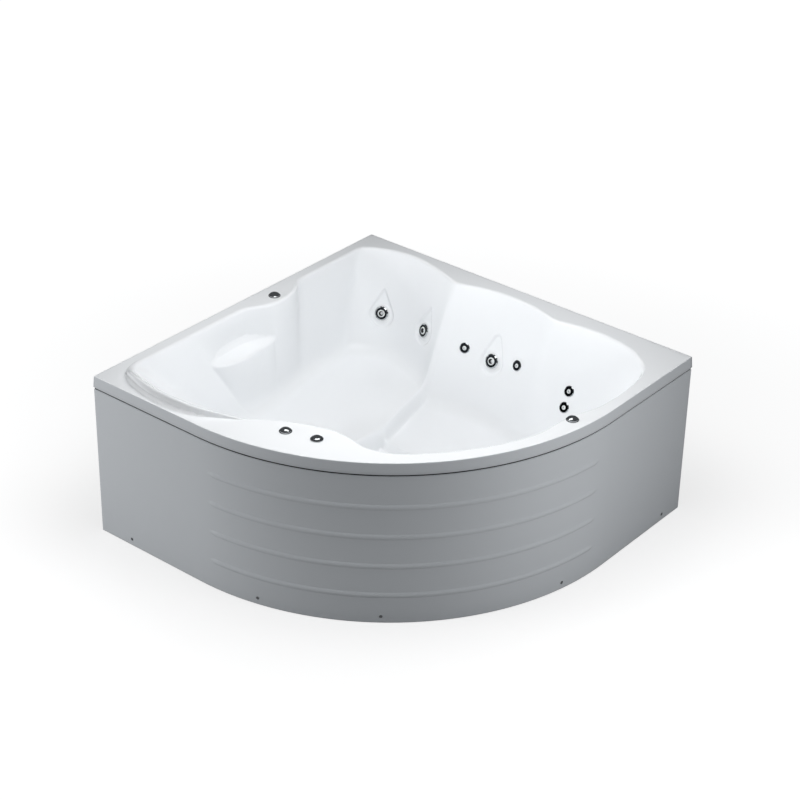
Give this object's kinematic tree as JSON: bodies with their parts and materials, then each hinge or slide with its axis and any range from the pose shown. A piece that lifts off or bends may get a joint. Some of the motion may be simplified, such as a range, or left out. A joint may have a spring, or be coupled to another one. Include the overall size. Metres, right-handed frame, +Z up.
{
  "type": "jetted corner bathtub",
  "caption": "Jetted corner bathtub with a bowed front panel, a moulded three-place basin, water jets, rim controls, pump, pipes and a levelled frame.",
  "frame": {"origin": "on the floor, under the middle of the square corner that the tub fills", "axes": "+Z up, +Y towards the back wall, -X towards the left wall; the bowed front faces +X and -Y"},
  "size_m": [1.5, 1.5, 0.68],
  "materials": {
    "acrylic": "glossy white sanitary acrylic",
    "panel": "glossy white acrylic sheet",
    "white_fittings": "glossy white moulding",
    "chrome": "bright chrome plating",
    "frame_paint": "satin grey powder coat",
    "zinc": "zinc-plated steel",
    "foot_plastic": "matt black nylon",
    "board": "pressed board, sawn edges",
    "pipe_plastic": "satin white plastic pipe",
    "pump_plastic": "matt dark grey moulding"
  },
  "bodies": {
    "tub": {"tub_shell": "acrylic", "well_board": "board", "floor_bearers": "board", "frame_long": "frame_paint", "frame_side": "frame_paint", "frame_bow": "frame_paint", "frame_cross": "frame_paint", "frame_posts": "frame_paint", "rim_blocks": "board", "foot_nuts": "zinc", "front_panel": "panel", "panel_rail": "frame_paint", "panel_arms": "frame_paint", "panel_screws": "zinc", "jet_body_1": "white_fittings", "jet_body_2": "white_fittings", "jet_body_3": "white_fittings", "mini_body_1": "chrome", "mini_body_2": "chrome", "mini_body_3": "chrome", "mini_body_4": "chrome", "air_valve_1": "chrome", "air_valve_2": "chrome", "air_valve_3": "chrome", "button_body": "chrome", "overflow_body": "white_fittings", "overflow_pipe": "pipe_plastic", "waste_flange": "chrome", "waste_elbow": "pipe_plastic", "suction_body": "white_fittings", "suction_grille": "white_fittings", "pump_motor": "pump_plastic", "pump_wet_end": "pump_plastic", "pump_cradle": "frame_paint", "suction_pipe": "pipe_plastic", "water_line": "pipe_plastic", "air_line": "pipe_plastic", "air_switch_tube": "pump_plastic"},
    "bezel_1": {"jet_bezel_1": "chrome"},
    "eye_1": {"jet_eye_1": "white_fittings"},
    "bezel_2": {"jet_bezel_2": "chrome"},
    "eye_2": {"jet_eye_2": "white_fittings"},
    "bezel_3": {"jet_bezel_3": "chrome"},
    "eye_3": {"jet_eye_3": "white_fittings"},
    "nozzle_1": {"mini_eye_1": "white_fittings"},
    "nozzle_2": {"mini_eye_2": "white_fittings"},
    "nozzle_3": {"mini_eye_3": "white_fittings"},
    "nozzle_4": {"mini_eye_4": "white_fittings"},
    "knob_1": {"air_knob_1": "chrome"},
    "knob_2": {"air_knob_2": "chrome"},
    "knob_3": {"air_knob_3": "chrome"},
    "button": {"button_cap": "chrome"},
    "overflow_turn": {"overflow_knob": "chrome"},
    "plug": {"waste_plug": "chrome"},
    "foot_body_1": {"foot_1": "foot_plastic"},
    "foot_body_2": {"foot_2": "foot_plastic"},
    "foot_body_3": {"foot_3": "foot_plastic"},
    "foot_body_4": {"foot_4": "foot_plastic"},
    "foot_body_5": {"foot_5": "foot_plastic"},
    "foot_body_6": {"foot_6": "foot_plastic"}
  },
  "joints": [
    {"name": "bezel_1_turn", "type": "hinge", "parent": "tub", "child": "bezel_1", "pos_m": [-0.57743, 0.61298, 0.4], "axis": [0.3096, -0.9005, 0.3053], "range_deg": [0, 90]},
    {"name": "eye_1_tilt", "type": "hinge", "parent": "bezel_1", "child": "eye_1", "pos_m": [-0.57959, 0.61928, 0.39786], "axis": [0.9457, 0.3251, 0], "range_deg": [-15, 15]},
    {"name": "bezel_2_turn", "type": "hinge", "parent": "tub", "child": "bezel_2", "pos_m": [-0.35355, 0.59889, 0.409], "axis": [-0.3281, -0.8959, 0.2994], "range_deg": [0, 90]},
    {"name": "eye_2_tilt", "type": "hinge", "parent": "bezel_2", "child": "eye_2", "pos_m": [-0.35126, 0.60516, 0.4069], "axis": [0.939, -0.3439, 0], "range_deg": [-15, 15]},
    {"name": "bezel_3_turn", "type": "hinge", "parent": "tub", "child": "bezel_3", "pos_m": [-0.0174, 0.58737, 0.404], "axis": [0.0196, -0.9269, 0.3749], "range_deg": [0, 90]},
    {"name": "eye_3_tilt", "type": "hinge", "parent": "bezel_3", "child": "eye_3", "pos_m": [-0.01753, 0.59386, 0.40138], "axis": [0.9998, 0.0212, 0], "range_deg": [-15, 15]},
    {"name": "nozzle_1_tilt", "type": "hinge", "parent": "tub", "child": "nozzle_1", "pos_m": [-0.14202, 0.58196, 0.41757], "axis": [0.9755, 0.2199, 0], "range_deg": [-15, 15]},
    {"name": "nozzle_2_tilt", "type": "hinge", "parent": "tub", "child": "nozzle_2", "pos_m": [0.09772, 0.59218, 0.42554], "axis": [0.9866, -0.1633, 0], "range_deg": [-15, 15]},
    {"name": "nozzle_3_tilt", "type": "hinge", "parent": "tub", "child": "nozzle_3", "pos_m": [0.35479, 0.56494, 0.42519], "axis": [0.9992, -0.0399, 0], "range_deg": [-15, 15]},
    {"name": "nozzle_4_tilt", "type": "hinge", "parent": "tub", "child": "nozzle_4", "pos_m": [0.35623, 0.53687, 0.37018], "axis": [0.998, -0.0635, 0], "range_deg": [-15, 15]},
    {"name": "knob_1_turn", "type": "hinge", "parent": "tub", "child": "knob_1", "pos_m": [-0.679, 0.109, 0.64], "axis": [0, 0, 1], "range_deg": [0, 180]},
    {"name": "knob_2_turn", "type": "hinge", "parent": "tub", "child": "knob_2", "pos_m": [0.002, -0.582, 0.64], "axis": [0, 0, 1], "range_deg": [0, 180]},
    {"name": "knob_3_turn", "type": "hinge", "parent": "tub", "child": "knob_3", "pos_m": [0.679, 0.108, 0.64], "axis": [0, 0, 1], "range_deg": [0, 180]},
    {"name": "button_press", "type": "slide", "parent": "tub", "child": "button", "axis": [0, 0, 1], "range_m": [-0.004, 0], "stiffness_N_per_m": 1000, "springref_m": 0.002},
    {"name": "overflow_knob_turn", "type": "hinge", "parent": "tub", "child": "overflow_turn", "pos_m": [0.31939, -0.44619, 0.54], "axis": [-0.3747, 0.9003, 0.2214], "range_deg": [0, 90]},
    {"name": "plug_rise", "type": "slide", "parent": "tub", "child": "plug", "axis": [0, 0, 1], "range_m": [0, 0.008]},
    {"name": "foot_1_screw", "type": "slide", "parent": "tub", "child": "foot_body_1", "axis": [0, 0, 1], "range_m": [-0.015, 0]},
    {"name": "foot_2_screw", "type": "slide", "parent": "tub", "child": "foot_body_2", "axis": [0, 0, 1], "range_m": [-0.015, 0]},
    {"name": "foot_3_screw", "type": "slide", "parent": "tub", "child": "foot_body_3", "axis": [0, 0, 1], "range_m": [-0.015, 0]},
    {"name": "foot_4_screw", "type": "slide", "parent": "tub", "child": "foot_body_4", "axis": [0, 0, 1], "range_m": [-0.015, 0]},
    {"name": "foot_5_screw", "type": "slide", "parent": "tub", "child": "foot_body_5", "axis": [0, 0, 1], "range_m": [-0.015, 0]},
    {"name": "foot_6_screw", "type": "slide", "parent": "tub", "child": "foot_body_6", "axis": [0, 0, 1], "range_m": [-0.015, 0]}
  ],
  "couplings": [
    {"joint": "plug_rise", "follows": "overflow_knob_turn", "m_per_rad": 0.005092}
  ]
}
